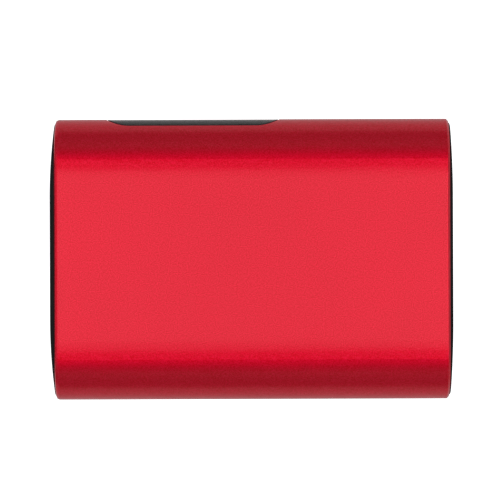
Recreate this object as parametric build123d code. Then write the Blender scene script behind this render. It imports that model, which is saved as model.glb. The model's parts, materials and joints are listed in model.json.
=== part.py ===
from build123d import *
import os
from math import asin, cos, degrees, radians, sin, sqrt

# A pocket digital audio player. An extruded aluminium sleeve lies flat on one of its two plain
# faces; its long edges are fully rounded. A domed black cap closes each short end: keys are on
# the right cap, sockets and the hold switch on the left one. A smoked lens in the rounded +Y
# edge covers a small display. Frame: +X runs along the extrusion to the key end, +Y to the
# window edge, +Z up out of the plain top face. The origin is on the surface the player lies on,
# under the middle of its outside box. Millimetres throughout.

# Sleeve. Its section has two flats, two round sides and a slack shoulder arc between the two
sleeve_length = 78.4
sleeve_width = 56.0
sleeve_thickness = 17.6
sleeve_wall = 1.4
sleeve_end_chamfer = 0.4
shoulder_radius = 60.0
shoulder_angle = 3.5

# End caps: each drops into a recess at the sleeve's end, on a thin seal
cap_recess_depth = 1.5
cap_rim = 0.7
cap_gap = 0.08
cap_seal_thickness = 0.2
cap_edge_radius = 0.3
crown_flat_width = 24.0
left_crown = 1.2
left_side_drop = 1.05
left_face_drop = 0.5
right_crown = 0.9
right_side_drop = 0.6
right_face_drop = 0.35
skirt_depth = 3.0
skirt_wall = 1.0
skirt_gap = 0.1

# Cap screws, countersunk, two in each cap
cap_screw_side_inset = 4.7
cap_screw_radius = 0.8
cap_screw_hole_gap = 0.1
cap_screw_head_radius = 1.4
cap_screw_head_height = 0.6
cap_screw_head_gap = 0.08
cap_screw_head_top = 0.3
cap_screw_length = 6.0
screw_drive_width = 1.1
screw_drive_depth = 0.4

# Window in the rounded +Y edge
window_length = 34.3
window_height = 9.0
window_offset = -11.75
window_chamfer = 0.25
lens_gap = 0.15
lens_inset = 0.05
lens_flange = 1.2
lens_edge_thickness = 0.6
window_gasket_thickness = 0.2

# Display, its holder and its flexible tail
display_length = 30.0
display_height = 11.5
display_thickness = 1.45
display_gap = 0.1
holder_back = 1.2
holder_lip = 1.2
holder_relief = 0.1
tail_thickness = 0.2
tail_width = 3.0
tail_reach = 5.0
tail_bend_radius = 1.5
tail_board_clearance = 0.2
tail_notch_gap = 0.3
display_connector_length = 4.0
display_connector_width = 3.0

# Chassis tray
chassis_gap = 0.1
chassis_floor = 1.0
chassis_end_gap = 0.2
boss_radius = 1.9
boss_length = 7.5
standoff_radius = 1.7

# Main board
board_thickness = 1.0
board_left_setback = 2.4
board_right_setback = 6.0
board_window_side_inset = 8.8
board_far_side_inset = 7.5
board_screw_radius = 0.7
board_screw_hole_gap = 0.1
board_screw_head_radius = 1.35
board_screw_head_height = 0.7
board_screw_length = 3.8
board_screw_left_inset = 18.6
board_screw_right_inset = 12.0
board_screw_side_inset = 11.4

# USB socket
usb_width = 8.94
usb_height = 3.2
usb_wall = 0.3
usb_y = 6.3
usb_mouth_out = 0.5
usb_length = 7.4
usb_hole_gap = 0.12
usb_tongue_width = 6.7
usb_tongue_thickness = 0.7
usb_tongue_setback = 1.0

# 3.5 mm headphone jack, let into a notch in the board so that its bore is on the mid-plane
jack_bore_radius = 1.8
jack_bore_depth = 14.2
jack_nose_radius = 2.9
jack_nose_out = 0.85
jack_hole_gap = 0.08
jack_width = 6.0
jack_height = 5.0
jack_length = 14.0
jack_spacing = 2.73
jack_notch_gap = 0.05
jack_ear_width = 0.6
jack_ear_thickness = 0.3

# Memory card socket
card_width = 11.2
card_thickness = 0.9
card_socket_width = 14.0
card_socket_length = 14.5
card_socket_height = 1.45
card_socket_floor = 0.3
card_spacing = 0.4
card_slot_gap = 0.25

# Hold switch on the left cap
knob_length = 3.4
knob_height = 1.8
knob_gap = 0.1
knob_travel = 2.0
knob_spacing = 0.43
knob_top_out = 1.1
knob_flange_reach = 2.1
knob_flange_height = 2.6
knob_flange_thickness = 0.6
knob_ridge_width = 0.3
knob_ridge_depth = 0.2
knob_ridge_pitch = 0.6
knob_ridge_count = 5
actuator_width = 1.2
actuator_height = 0.9
actuator_length = 1.6
hold_switch_gap = 0.4
hold_switch_width = 6.4
hold_switch_depth = 2.8
hold_switch_height = 1.8

# Status light
light_pipe_radius = 0.5
light_pipe_height = 0.7
light_pipe_length = 3.0
led_length = 1.2
led_width = 1.2
led_height = 1.2

# Keys on the right cap and the tactile switches behind them
play_key_radius = 3.7
small_key_radius = 2.6
key_spacing = 0.7
key_gap = 0.1
key_front_out = 0.75
key_edge_radius = 0.25
key_dish_depth = 0.12
key_flange_reach = 0.8
key_flange_thickness = 0.6
key_rest_gap = 0.05
key_travel = 0.35
symbol_depth = 0.15
symbol_size = 0.9
plunger_radius = 1.0
plunger_stand = 0.7
plunger_sunk = 0.8
plunger_gap = 0.05
switch_width = 4.4
switch_depth = 1.8
switch_floor_gap = 0.1
key_board_thickness = 0.8
key_board_width = 40.0
key_board_height = 10.8
key_connector_width = 10.0
key_connector_height = 2.8
key_connector_length = 4.0

# Shield, battery and what lies between them
shield_length = 28.0
shield_width = 24.0
shield_height = 3.0
shield_wall = 0.25
shield_x = 4.0
insulator_thickness = 0.2
pad_thickness = 0.4
pad_inset = 2.0
battery_length = 43.0
battery_width = 34.0
battery_thickness = 5.0
battery_edge_radius = 1.5
battery_x = 9.5
lead_radius = 0.55
lead_pitch = 2.0
lead_bend_radius = 1.6
lead_y = -12.0
battery_plug_length = 4.0
battery_plug_width = 6.0
battery_plug_height = 3.0
battery_plug_gap = 4.0

# Places worked out from the sizes above
mid = sleeve_thickness / 2
shoulder_drop = shoulder_radius * (1 - cos(radians(shoulder_angle)))
side_radius = (mid - shoulder_drop) / cos(radians(shoulder_angle))
side_axis_y = sleeve_width / 2 - side_radius
flat_half_width = side_axis_y - (shoulder_radius - side_radius) * sin(radians(shoulder_angle))
inner_radius = side_radius - sleeve_wall
overall_length = left_crown + sleeve_length + right_crown
x_left = left_crown - overall_length / 2
x_right = x_left + sleeve_length
x_sleeve_mid = (x_left + x_right) / 2
cap_plate_depth = cap_recess_depth - cap_seal_thickness
cap_outline_inset = cap_rim + cap_gap
skirt_end = cap_recess_depth + skirt_depth
skirt_inset = sleeve_wall + skirt_gap
x_left_plate = x_left + cap_plate_depth
x_right_plate = x_right - cap_plate_depth
cap_screw_y = sleeve_width / 2 - cap_screw_side_inset
jack_y = usb_y + usb_width / 2 + jack_spacing + jack_width / 2
light_pipe_y = usb_y + usb_width / 2 + jack_spacing / 2
knob_rest_y = usb_y - usb_width / 2 - knob_spacing - knob_flange_reach - knob_length / 2
knob_middle_y = knob_rest_y - knob_travel / 2
card_y = knob_middle_y - hold_switch_width / 2 - card_spacing - card_socket_width / 2
skip_key_y = play_key_radius + small_key_radius + 2 * key_flange_reach + key_spacing
volume_key_y = skip_key_y + 2 * small_key_radius + 2 * key_flange_reach + key_spacing
window_x = x_sleeve_mid + window_offset
board_top = mid - usb_height / 2
board_bottom = board_top - board_thickness
x_board_left = x_left + board_left_setback
x_board_right = x_right - board_right_setback
y_board_window_side = sleeve_width / 2 - board_window_side_inset
y_board_far_side = board_far_side_inset - sleeve_width / 2
floor_bottom = sleeve_wall + chassis_gap
floor_top = floor_bottom + chassis_floor
chassis_inset = sleeve_wall + chassis_gap
lens_flange_radius = inner_radius - window_gasket_thickness
lens_flange_half_height = window_height / 2 + lens_flange
lens_back_y = (side_axis_y + sqrt(lens_flange_radius ** 2 - lens_flange_half_height ** 2)
               - lens_edge_thickness)
display_front_y = lens_back_y - display_gap
display_back_y = display_front_y - display_thickness


def block(x_from, x_to, y_from, y_to, z_from, z_to):
    """A box between two corners."""
    size = (x_to - x_from, y_to - y_from, z_to - z_from)
    return Pos(x_from, y_from, z_from) * Box(*size, align=(Align.MIN, Align.MIN, Align.MIN))


def along_x(section, x_from, x_to, y=0.0, z=0.0):
    """A prism along X from a section drawn in Y and Z."""
    plane = Plane(origin=(x_from, y, z), x_dir=(0, 1, 0), z_dir=(1, 0, 0))
    return extrude(plane * section, amount=x_to - x_from, dir=(1, 0, 0))


def rod_x(radius, x_from, x_to, y, z=mid):
    plane = Plane(origin=(x_from, y, z), x_dir=(0, 0, 1), z_dir=(1, 0, 0))
    return extrude(plane * Circle(radius), amount=x_to - x_from, dir=(1, 0, 0))


def rod_z(radius, z_from, z_to, x, y):
    return extrude(Pos(x, y, z_from) * Circle(radius), amount=z_to - z_from)


def sleeve_section(inset):
    """The sleeve's outline moved in by the inset, drawn in Y and Z about its middle.

    A quarter is a flat, a shoulder arc and a side arc, each tangent to the next.
    """
    turn = radians(shoulder_angle)
    half_turn = turn / 2
    shoulder = shoulder_radius - inset
    shoulder_middle_z = mid - shoulder_radius
    side = side_radius - inset
    flat_end = (flat_half_width, mid - inset)
    shoulder_half = (flat_half_width + shoulder * sin(half_turn),
                     shoulder_middle_z + shoulder * cos(half_turn))
    shoulder_end = (side_axis_y + side * sin(turn), side * cos(turn))
    side_end = (side_axis_y + side, 0)
    quarter = Line((0, mid - inset), flat_end)
    quarter += ThreePointArc(flat_end, shoulder_half, shoulder_end)
    side_half_turn = (turn + radians(90)) / 2
    side_half = (side_axis_y + side * sin(side_half_turn), side * cos(side_half_turn))
    quarter += ThreePointArc(shoulder_end, side_half, side_end)
    upper = quarter + mirror(quarter, about=Plane.YZ)
    return make_face(upper + mirror(upper, about=Plane.XZ))


def sleeve_bar(x_from, x_to, inset):
    """The sleeve's outline, moved in by the inset, as a bar along X."""
    return along_x(sleeve_section(inset), x_from, x_to, 0, mid)


def side_rod(radius):
    """A rod about the axis of the rounded +Y edge, longer than the sleeve."""
    return rod_x(radius, x_left - 1, x_right + 1, side_axis_y)


def window_bar(spread, y_from):
    """The window's outline, grown by the spread, as a bar along Y to beyond the edge."""
    plane = Plane(origin=(window_x, y_from, mid), x_dir=(1, 0, 0), z_dir=(0, 1, 0))
    section = SlotOverall(window_length + 2 * spread, window_height + 2 * spread)
    return extrude(plane * section, amount=sleeve_width / 2 + 2 - y_from, dir=(0, 1, 0))


def outer_sleeve():
    body = sleeve_bar(x_left, x_right, 0)
    ends = body.faces().sort_by(Axis.X)
    body = chamfer(ends[0].edges() + ends[-1].edges(), sleeve_end_chamfer)
    opening = window_bar(0, side_axis_y)
    body = body - opening
    rim = [
        edge for edge in body.edges()
        if edge.center().Y > side_axis_y and abs(edge.center().X - window_x) < window_length
        and edge.length < window_length and abs(edge.center().Z - mid) < window_height
        and edge.center().Y > side_axis_y + side_radius / 2
    ]
    body = chamfer(rim, window_chamfer)
    body = body - sleeve_bar(x_left - 1, x_right + 1, sleeve_wall)
    body = body - sleeve_bar(x_left - 1, x_left + cap_recess_depth, cap_rim)
    return body - sleeve_bar(x_right - cap_recess_depth, x_right + 1, cap_rim)


def crown_solid(crown, side_drop, face_drop):
    """A block whose +X face is crowned: a flat-topped arc along Y, an arc across Z."""
    half_height = mid - cap_outline_inset
    half_width = sleeve_width / 2 - cap_outline_inset
    flat = crown_flat_width / 2
    back = -skirt_end
    reach = half_width - flat
    side_arc_radius = (reach ** 2 + side_drop ** 2) / (2 * side_drop)
    low = (crown - face_drop, -half_height)
    high = (crown - face_drop, half_height)
    arc = ThreePointArc(low, (crown, 0), high)
    outline = arc + Polyline(high, (back, half_height), (back, -half_height), low)
    plane = Plane(origin=(0, 0, mid), x_dir=(1, 0, 0), z_dir=(0, -1, 0))
    section = make_face(plane * outline)
    middle = extrude(Pos(0, -flat, 0) * section, amount=2 * flat, dir=(0, 1, 0))
    turn = degrees(asin(reach / side_arc_radius)) + 1
    ends = []
    for side in (1, -1):
        axis = Axis((crown - side_arc_radius, side * flat, mid), (0, 0, side))
        ends.append(revolve(Pos(0, side * flat, 0) * section, axis=axis, revolution_arc=turn))
    return middle + ends[0] + ends[1]


def cap_plate(crown, side_drop, face_drop):
    """An end cap's crowned plate without its holes, facing +X from a sleeve end at x = 0."""
    plate = crown_solid(crown, side_drop, face_drop)
    plate = plate & sleeve_bar(-cap_plate_depth, crown + 1, cap_outline_inset)
    walls = [face for face in plate.faces() if abs(face.normal_at().X) < 0.001]
    rim = [edge for face in walls for edge in face.edges() if edge.center().X > 0]
    return fillet(rim, cap_edge_radius)


def cap_skirt(x_from, x_to):
    return sleeve_bar(x_from, x_to, skirt_inset) - sleeve_bar(x_from, x_to, skirt_inset + skirt_wall)


def countersunk_rod(shank_radius, head_radius, tip, top):
    """A countersunk screw's outline turned about X, its head at +X and flat at cap_screw_head_top.

    The rod starts at the tip. A hole's rod goes on from the head to the top; a screw's stops there.
    """
    neck = cap_screw_head_top - cap_screw_head_height
    points = [(tip, 0), (tip, shank_radius), (neck, shank_radius),
              (cap_screw_head_top, head_radius)]
    if top > cap_screw_head_top:
        points.append((top, head_radius))
    points.append((top, 0))
    return revolve(make_face(Polyline(*points, close=True)), axis=Axis.X)


def cap_screw_places():
    """Where each cap screw stands, as a location whose +X points out of its cap."""
    places = []
    for y in (cap_screw_y, -cap_screw_y):
        places.append(Location((x_left, y, mid), (0, 0, 180)))
        places.append(Location((x_right, y, mid)))
    return places


def cap_screw_holes(x_end):
    """The countersunk holes of the cap at one end of the sleeve."""
    hole = countersunk_rod(cap_screw_radius + cap_screw_hole_gap,
                           cap_screw_head_radius + cap_screw_head_gap,
                           -skirt_end, cap_screw_head_top + left_crown + right_crown)
    return [place * hole for place in cap_screw_places() if place.position.X == x_end]


def left_end_cap():
    plate = mirror(cap_plate(left_crown, left_side_drop, left_face_drop), about=Plane.YZ)
    plate = Pos(x_left, 0, 0) * plate
    inside = x_left_plate
    outside = x_left - left_crown - 1
    usb_hole = SlotOverall(usb_width + 2 * usb_hole_gap, usb_height + 2 * usb_hole_gap)
    card_hole = Rectangle(card_width + 2 * card_slot_gap, card_thickness + 2 * card_slot_gap)
    slot = SlotOverall(knob_length + knob_travel + 2 * knob_gap, knob_height + 2 * knob_gap)
    holes = cap_screw_holes(x_left) + [
        along_x(usb_hole, outside, inside, usb_y, mid),
        along_x(card_hole, outside, inside, card_y, card_z()),
        along_x(slot, outside, inside, knob_middle_y, knob_z()),
        rod_x(jack_nose_radius + jack_hole_gap, outside, inside, jack_y),
        rod_x(light_pipe_radius, outside, inside, light_pipe_y, board_top + light_pipe_height),
    ]
    return plate - holes + cap_skirt(inside, x_left + skirt_end)


def right_end_cap():
    plate = Pos(x_right, 0, 0) * cap_plate(right_crown, right_side_drop, right_face_drop)
    outside = x_right + right_crown + 1
    holes = cap_screw_holes(x_right)
    for name, y, radius in key_places():
        holes.append(rod_x(radius + key_gap, x_right_plate, outside, y))
    return plate - holes + cap_skirt(x_right - skirt_end, x_right_plate)


def cap_seal(x_from):
    """The thin seal between a cap's flange and the step inside the sleeve's end."""
    x_to = x_from + cap_seal_thickness
    return sleeve_bar(x_from, x_to, cap_outline_inset) - sleeve_bar(x_from, x_to, skirt_inset)


def cap_screws():
    screw = countersunk_rod(cap_screw_radius, cap_screw_head_radius,
                            cap_screw_head_top - cap_screw_length, cap_screw_head_top)
    drive = along_x(RegularPolygon(screw_drive_width / 2, 6),
                    cap_screw_head_top - screw_drive_depth, cap_screw_head_top + 1)
    screw = screw - drive
    return [place * screw for place in cap_screw_places()]


def window_lens():
    flange = window_bar(lens_flange, lens_back_y) & side_rod(lens_flange_radius)
    front = window_bar(-lens_gap, lens_back_y) & side_rod(side_radius - lens_inset)
    return flange + front


def window_gasket():
    ring = window_bar(lens_flange, side_axis_y) - window_bar(0, side_axis_y)
    return ring & (side_rod(inner_radius) - side_rod(lens_flange_radius))


def oled_display():
    return block(window_x - display_length / 2, window_x + display_length / 2,
                 display_back_y, display_front_y,
                 mid - display_height / 2, mid + display_height / 2)


def display_holder():
    x_from = window_x - display_length / 2
    x_to = window_x + display_length / 2
    top = mid + display_height / 2
    back = block(x_from - holder_lip, x_to + holder_lip,
                 display_back_y - holder_back, display_back_y, floor_top, top)
    left_lip = block(x_from - holder_lip, x_from, display_back_y, display_front_y,
                     mid - display_height / 4, mid + display_height / 4)
    right_lip = block(x_to, x_to + holder_lip, display_back_y, display_front_y,
                      mid - display_height / 4, mid + display_height / 4)
    tail_way = block(x_to, x_to + 2 * holder_lip, display_back_y - holder_back,
                     display_front_y, board_top + tail_board_clearance - tail_notch_gap,
                     board_top + tail_board_clearance + tail_width + tail_notch_gap)
    jack_reach = jack_width / 2 + jack_ear_width + holder_relief
    jack_way = block(x_left_plate, x_left_plate + jack_length + holder_relief,
                     jack_y - jack_reach, jack_y + jack_reach,
                     mid - jack_height / 2 - holder_relief,
                     mid + jack_height / 2 + holder_relief)
    return back + left_lip + right_lip - tail_way - jack_way


def display_tail():
    """The display's flexible tail: out of its short end, round a bend and into its connector."""
    x_from = window_x + display_length / 2
    x_to = x_from + tail_reach + tail_bend_radius
    y_from = (display_front_y + display_back_y) / 2
    line = FilletPolyline((x_from, y_from), (x_to, y_from), (x_to, display_connector_face()),
                          radius=tail_bend_radius)
    strip = trace(line, tail_thickness)
    strip = Pos(0, 0, board_top + tail_board_clearance) * strip
    return extrude(strip, amount=tail_width)


def display_connector_face():
    return y_board_window_side - tail_notch_gap


def display_connector():
    x = window_x + display_length / 2 + tail_reach + tail_bend_radius
    y = display_connector_face()
    return block(x - display_connector_length / 2, x + display_connector_length / 2,
                 y - display_connector_width, y,
                 board_top, board_top + tail_board_clearance + tail_width)


def chassis_tray():
    """The moulded tray: a floor, four bosses for the cap screws and four board standoffs."""
    x_from = x_left + skirt_end + chassis_end_gap
    x_to = x_right - skirt_end - chassis_end_gap
    half_width = cap_screw_y + boss_radius
    tray = block(x_from, x_to, -half_width, half_width, floor_bottom, floor_top)
    for x_plate, out in ((x_left_plate, -1), (x_right_plate, 1)):
        for y in (cap_screw_y, -cap_screw_y):
            x_inner = x_plate - out * boss_length
            x_post = x_from if out < 0 else x_to
            post = block(min(x_inner, x_post), max(x_inner, x_post),
                         y - boss_radius, y + boss_radius, floor_bottom, mid)
            boss = rod_x(boss_radius, min(x_plate, x_inner), max(x_plate, x_inner), y)
            tray = tray + post + boss
    tray = tray & sleeve_bar(x_left, x_right, chassis_inset)
    for x_end, out in ((x_left, -1), (x_right, 1)):
        for y in (cap_screw_y, -cap_screw_y):
            tip = x_end + out * (cap_screw_head_top - cap_screw_length)
            tray = tray - rod_x(cap_screw_radius, min(tip, x_end), max(tip, x_end), y)
    for x, y in board_screw_places():
        tray = tray + rod_z(standoff_radius, floor_top, board_bottom, x, y)
        tray = tray - rod_z(board_screw_radius, board_top - board_screw_length, board_top, x, y)
    return tray


def board_screw_places():
    y = sleeve_width / 2 - board_screw_side_inset
    xs = (x_left + board_screw_left_inset, x_right - board_screw_right_inset)
    return [(x, side * y) for x in xs for side in (1, -1)]


def main_board():
    board = block(x_board_left, x_board_right, y_board_far_side, y_board_window_side,
                  board_bottom, board_top)
    half_notch = jack_width / 2 + jack_notch_gap
    board = board - block(x_board_left - 1, x_left_plate + jack_length + jack_notch_gap,
                          jack_y - half_notch, jack_y + half_notch,
                          board_bottom - 1, board_top + 1)
    for x, y in board_screw_places():
        board = board - rod_z(board_screw_radius + board_screw_hole_gap,
                              board_bottom - 1, board_top + 1, x, y)
    return board


def board_screws():
    screws = []
    for x, y in board_screw_places():
        head = rod_z(board_screw_head_radius, board_top, board_top + board_screw_head_height, x, y)
        shank = rod_z(board_screw_radius, board_top - board_screw_length, board_top, x, y)
        top = board_top + board_screw_head_height
        drive = extrude(Pos(x, y, top - screw_drive_depth) * RegularPolygon(
            screw_drive_width / 2, 6), amount=1)
        screws.append(head + shank - drive)
    return screws


def headphone_jack():
    x_body = x_left_plate
    body = block(x_body, x_body + jack_length, jack_y - jack_width / 2, jack_y + jack_width / 2,
                 mid - jack_height / 2, mid + jack_height / 2)
    half_ears = jack_width / 2 + jack_ear_width
    ears = block(x_board_left, x_body + jack_length, jack_y - half_ears, jack_y + half_ears,
                 board_top, board_top + jack_ear_thickness)
    nose = rod_x(jack_nose_radius, x_left - jack_nose_out, x_body, jack_y)
    nose_edge = nose.faces().sort_by(Axis.X)[0].edges()
    nose = chamfer(nose_edge, jack_ear_thickness)
    bore = rod_x(jack_bore_radius, x_left - jack_nose_out - 1,
                 x_left - jack_nose_out + jack_bore_depth, jack_y)
    return body + ears + nose - bore


def usb_socket():
    x_from = x_left - usb_mouth_out
    shell = along_x(SlotOverall(usb_width, usb_height), x_from, x_from + usb_length, usb_y, mid)
    hollow = SlotOverall(usb_width - 2 * usb_wall, usb_height - 2 * usb_wall)
    return shell - along_x(hollow, x_from, x_from + usb_length - usb_wall, usb_y, mid)


def usb_tongue():
    x_from = x_left - usb_mouth_out + usb_tongue_setback
    x_to = x_left - usb_mouth_out + usb_length - usb_wall
    section = RectangleRounded(usb_tongue_width, usb_tongue_thickness, usb_tongue_thickness / 3)
    return along_x(section, x_from, x_to, usb_y, mid)


def card_z():
    return board_top + card_socket_floor + card_thickness / 2


def card_socket():
    x_from = x_board_left
    half_width = card_socket_width / 2
    body = block(x_from, x_from + card_socket_length, card_y - half_width, card_y + half_width,
                 board_top, board_top + card_socket_height)
    pocket = block(x_from - 1, x_from + card_socket_length - usb_wall,
                   card_y - card_width / 2, card_y + card_width / 2,
                   board_top + card_socket_floor, board_top + card_socket_floor + card_thickness)
    return body - pocket


def knob_z():
    return board_top + hold_switch_height / 2


def hold_knob():
    """The hold switch's knob: a ridged button in the cap's slot and a flange behind it."""
    x_top = x_left - knob_top_out
    x_flange = x_left_plate + key_rest_gap
    button = along_x(SlotOverall(knob_length, knob_height), x_top, x_flange, knob_rest_y, knob_z())
    flange = block(x_flange, x_flange + knob_flange_thickness,
                   knob_rest_y - knob_length / 2 - knob_flange_reach,
                   knob_rest_y + knob_length / 2 + knob_flange_reach,
                   knob_z() - knob_flange_height / 2, knob_z() + knob_flange_height / 2)
    first = knob_rest_y - knob_ridge_pitch * (knob_ridge_count - 1) / 2
    for index in range(knob_ridge_count):
        y = first + index * knob_ridge_pitch
        button = button - block(x_top - 1, x_top + knob_ridge_depth,
                                y - knob_ridge_width / 2, y + knob_ridge_width / 2,
                                knob_z() - knob_height, knob_z() + knob_height)
    return button + flange


def hold_switch_front():
    return x_left_plate + key_rest_gap + knob_flange_thickness + hold_switch_gap


def hold_actuator():
    x_from = x_left_plate + key_rest_gap + knob_flange_thickness
    return block(x_from, x_from + actuator_length,
                 knob_rest_y - actuator_width / 2, knob_rest_y + actuator_width / 2,
                 knob_z() - actuator_height / 2, knob_z() + actuator_height / 2)


def hold_switch():
    x_from = hold_switch_front()
    y = knob_middle_y
    body = block(x_from, x_from + hold_switch_depth,
                 y - hold_switch_width / 2, y + hold_switch_width / 2,
                 board_top, board_top + hold_switch_height)
    half_slot = (actuator_width + knob_travel) / 2 + knob_gap
    pocket = block(x_from - 1, x_from + actuator_length, y - half_slot, y + half_slot,
                   knob_z() - actuator_height / 2 - knob_gap,
                   knob_z() + actuator_height / 2 + knob_gap)
    return body - pocket


def light_pipe():
    x_from = x_left - usb_mouth_out
    return rod_x(light_pipe_radius, x_from, x_from + light_pipe_length, light_pipe_y,
                 board_top + light_pipe_height)


def status_led():
    x_from = x_left - usb_mouth_out + light_pipe_length
    return block(x_from, x_from + led_length, light_pipe_y - led_width / 2,
                 light_pipe_y + led_width / 2, board_top, board_top + led_height)


def key_places():
    """Each key's name, its place along Y and its radius."""
    return [
        ("volume_down", -volume_key_y, small_key_radius),
        ("previous", -skip_key_y, small_key_radius),
        ("play", 0.0, play_key_radius),
        ("next", skip_key_y, small_key_radius),
        ("volume_up", volume_key_y, small_key_radius),
    ]


def key_symbol(name):
    """The generic sign cut into a key, drawn in Y and Z: arrows point to +Y for next."""
    arrow = RegularPolygon(symbol_size, 3)
    bar = Rectangle(symbol_size / 3, symbol_size * 1.7)
    cross_bar = Rectangle(symbol_size * 1.7, symbol_size / 3)
    if name == "play":
        second_bar = Pos(symbol_size * 2.1, 0) * bar
        return Pos(-symbol_size, 0) * (arrow + Pos(symbol_size * 1.5, 0) * bar + second_bar)
    if name == "next":
        return arrow + Pos(symbol_size * 1.3, 0) * bar
    if name == "previous":
        return Rot(0, 0, 180) * (arrow + Pos(symbol_size * 1.3, 0) * bar)
    if name == "volume_up":
        return cross_bar + bar
    return cross_bar


def key(name, y, radius):
    """A round key: a dished button with its sign, and the flange that keeps it in the cap."""
    x_front = x_right + key_front_out
    x_flange = x_right_plate - key_rest_gap
    button = rod_x(radius, x_flange, x_front, y)
    button = fillet(button.faces().sort_by(Axis.X)[-1].edges(), key_edge_radius)
    dish_rim = radius - 2 * key_edge_radius
    dish_radius = (dish_rim ** 2 + key_dish_depth ** 2) / (2 * key_dish_depth)
    button = button - Pos(x_front + dish_radius - key_dish_depth, y, mid) * Sphere(dish_radius)
    x_sign = x_front - key_dish_depth - symbol_depth
    button = button - along_x(key_symbol(name), x_sign, x_front + 1, y, mid)
    flange = rod_x(radius + key_flange_reach, x_flange - key_flange_thickness, x_flange, y)
    return button + flange


def plunger_top():
    return x_right_plate - key_rest_gap - key_flange_thickness


def switch_front():
    return plunger_top() - plunger_stand


def plunger(y):
    return rod_x(plunger_radius, switch_front() - plunger_sunk, plunger_top(), y)


def key_switches():
    """The tactile switches' bodies, one behind each key."""
    x_back = switch_front() - switch_depth
    well_depth = plunger_sunk + key_travel + switch_floor_gap
    bodies = []
    for name, y, radius in key_places():
        body = along_x(RectangleRounded(switch_width, switch_width, plunger_radius / 3),
                       x_back, switch_front(), y, mid)
        well = rod_x(plunger_radius + plunger_gap, switch_front() - well_depth,
                     switch_front(), y)
        bodies.append(body - well)
    return bodies


def key_board_front():
    return switch_front() - switch_depth


def key_board():
    x_front = key_board_front()
    section = RectangleRounded(key_board_width, key_board_height, boss_radius)
    return along_x(section, x_front - key_board_thickness, x_front, 0, mid)


def key_connector():
    x_to = key_board_front() - key_board_thickness
    return block(x_to - key_connector_length, x_to, -key_connector_width / 2,
                 key_connector_width / 2, board_top, board_top + key_connector_height)


def shield_can():
    x_from = shield_x - shield_length / 2
    x_to = shield_x + shield_length / 2
    half_width = shield_width / 2
    can = block(x_from, x_to, -half_width, half_width, board_top, board_top + shield_height)
    return can - block(x_from + shield_wall, x_to - shield_wall,
                       shield_wall - half_width, half_width - shield_wall,
                       board_top, board_top + shield_height - shield_wall)


def insulating_sheet():
    z = board_top + shield_height
    half_width = battery_width / 2 - pad_inset
    half_length = battery_length / 2 - pad_inset
    return block(battery_x - half_length, battery_x + half_length, -half_width, half_width,
                 z, z + insulator_thickness)


def battery_pad():
    z = board_top + shield_height + insulator_thickness
    half_width = shield_width / 2 - pad_inset
    half_length = shield_length / 2 - pad_inset
    return block(shield_x - half_length, shield_x + half_length, -half_width, half_width,
                 z, z + pad_thickness)


def battery_base():
    return board_top + shield_height + insulator_thickness + pad_thickness


def battery_cell():
    pouch = block(battery_x - battery_length / 2, battery_x + battery_length / 2,
                  -battery_width / 2, battery_width / 2,
                  battery_base(), battery_base() + battery_thickness)
    return fillet(pouch.edges().filter_by(Axis.X), battery_edge_radius)


def battery_plug():
    """The battery's small plug, on the board beside the pouch."""
    x_to = battery_x - battery_length / 2 - battery_plug_gap
    return block(x_to - battery_plug_length, x_to,
                 lead_y - battery_plug_width / 2, lead_y + battery_plug_width / 2,
                 board_top, board_top + battery_plug_height)


def battery_lead():
    """Two insulated wires from the pouch's end down into the plug's top."""
    x_cell = battery_x - battery_length / 2
    x_plug = x_cell - battery_plug_gap - battery_plug_length / 2
    z_cell = battery_base() + battery_thickness / 2
    wires = []
    for side in (-1, 1):
        y = lead_y + side * lead_pitch / 2
        path = FilletPolyline((x_cell, y, z_cell), (x_plug, y, z_cell),
                              (x_plug, y, board_top + battery_plug_height),
                              radius=lead_bend_radius)
        start = Plane(origin=(x_cell, y, z_cell), z_dir=(-1, 0, 0))
        wires.append(sweep(start * Circle(lead_radius), path=path))
    return wires


# Chips and passives: the x and y of the middle, the length, width and height. The first list
# stands on the board's top under the shield, the second beside it, the third hangs below.
shielded_chips = {
    "processor_chip": (-2.0, 4.0, 9.0, 9.0, 1.0),
    "memory_chip": (10.0, -3.0, 8.0, 10.0, 0.9),
    "crystal": (-4.0, -6.0, 3.2, 2.5, 0.8),
}
open_chips = {
    "power_chip": (23.0, 8.0, 4.0, 4.0, 0.9),
    "power_inductor": (23.5, -8.0, 4.0, 4.0, 2.0),
}
hanging_chips = {
    "dac_chip": (-17.0, 6.0, 5.0, 5.0, 0.9),
    "amplifier_chip": (-17.0, -3.0, 4.0, 4.0, 0.9),
}
capacitor_radius = 1.6
capacitor_height = 2.6
capacitor_x = -8.0
capacitor_pitch = 5.0
capacitor_count = 3


def chip(x, y, length, width, height, hanging=False):
    z_from = board_bottom - height if hanging else board_top
    body = block(x - length / 2, x + length / 2, y - width / 2, y + width / 2,
                 z_from, z_from + height)
    return chamfer(body.edges().filter_by(Axis.Z), height / 4)


def audio_capacitors():
    first = -capacitor_pitch * (capacitor_count - 1) / 2
    return [
        rod_z(capacitor_radius, board_bottom - capacitor_height, board_bottom,
              capacitor_x, first + index * capacitor_pitch)
        for index in range(capacitor_count)
    ]


def save(name, shape):
    """Write one named piece, or a group of alike pieces, as a STEP file."""
    if isinstance(shape, list):
        shape = Compound(children=shape)
    export_step(shape, os.path.join("parts", name + ".step"))


os.makedirs("parts", exist_ok=True)

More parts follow.
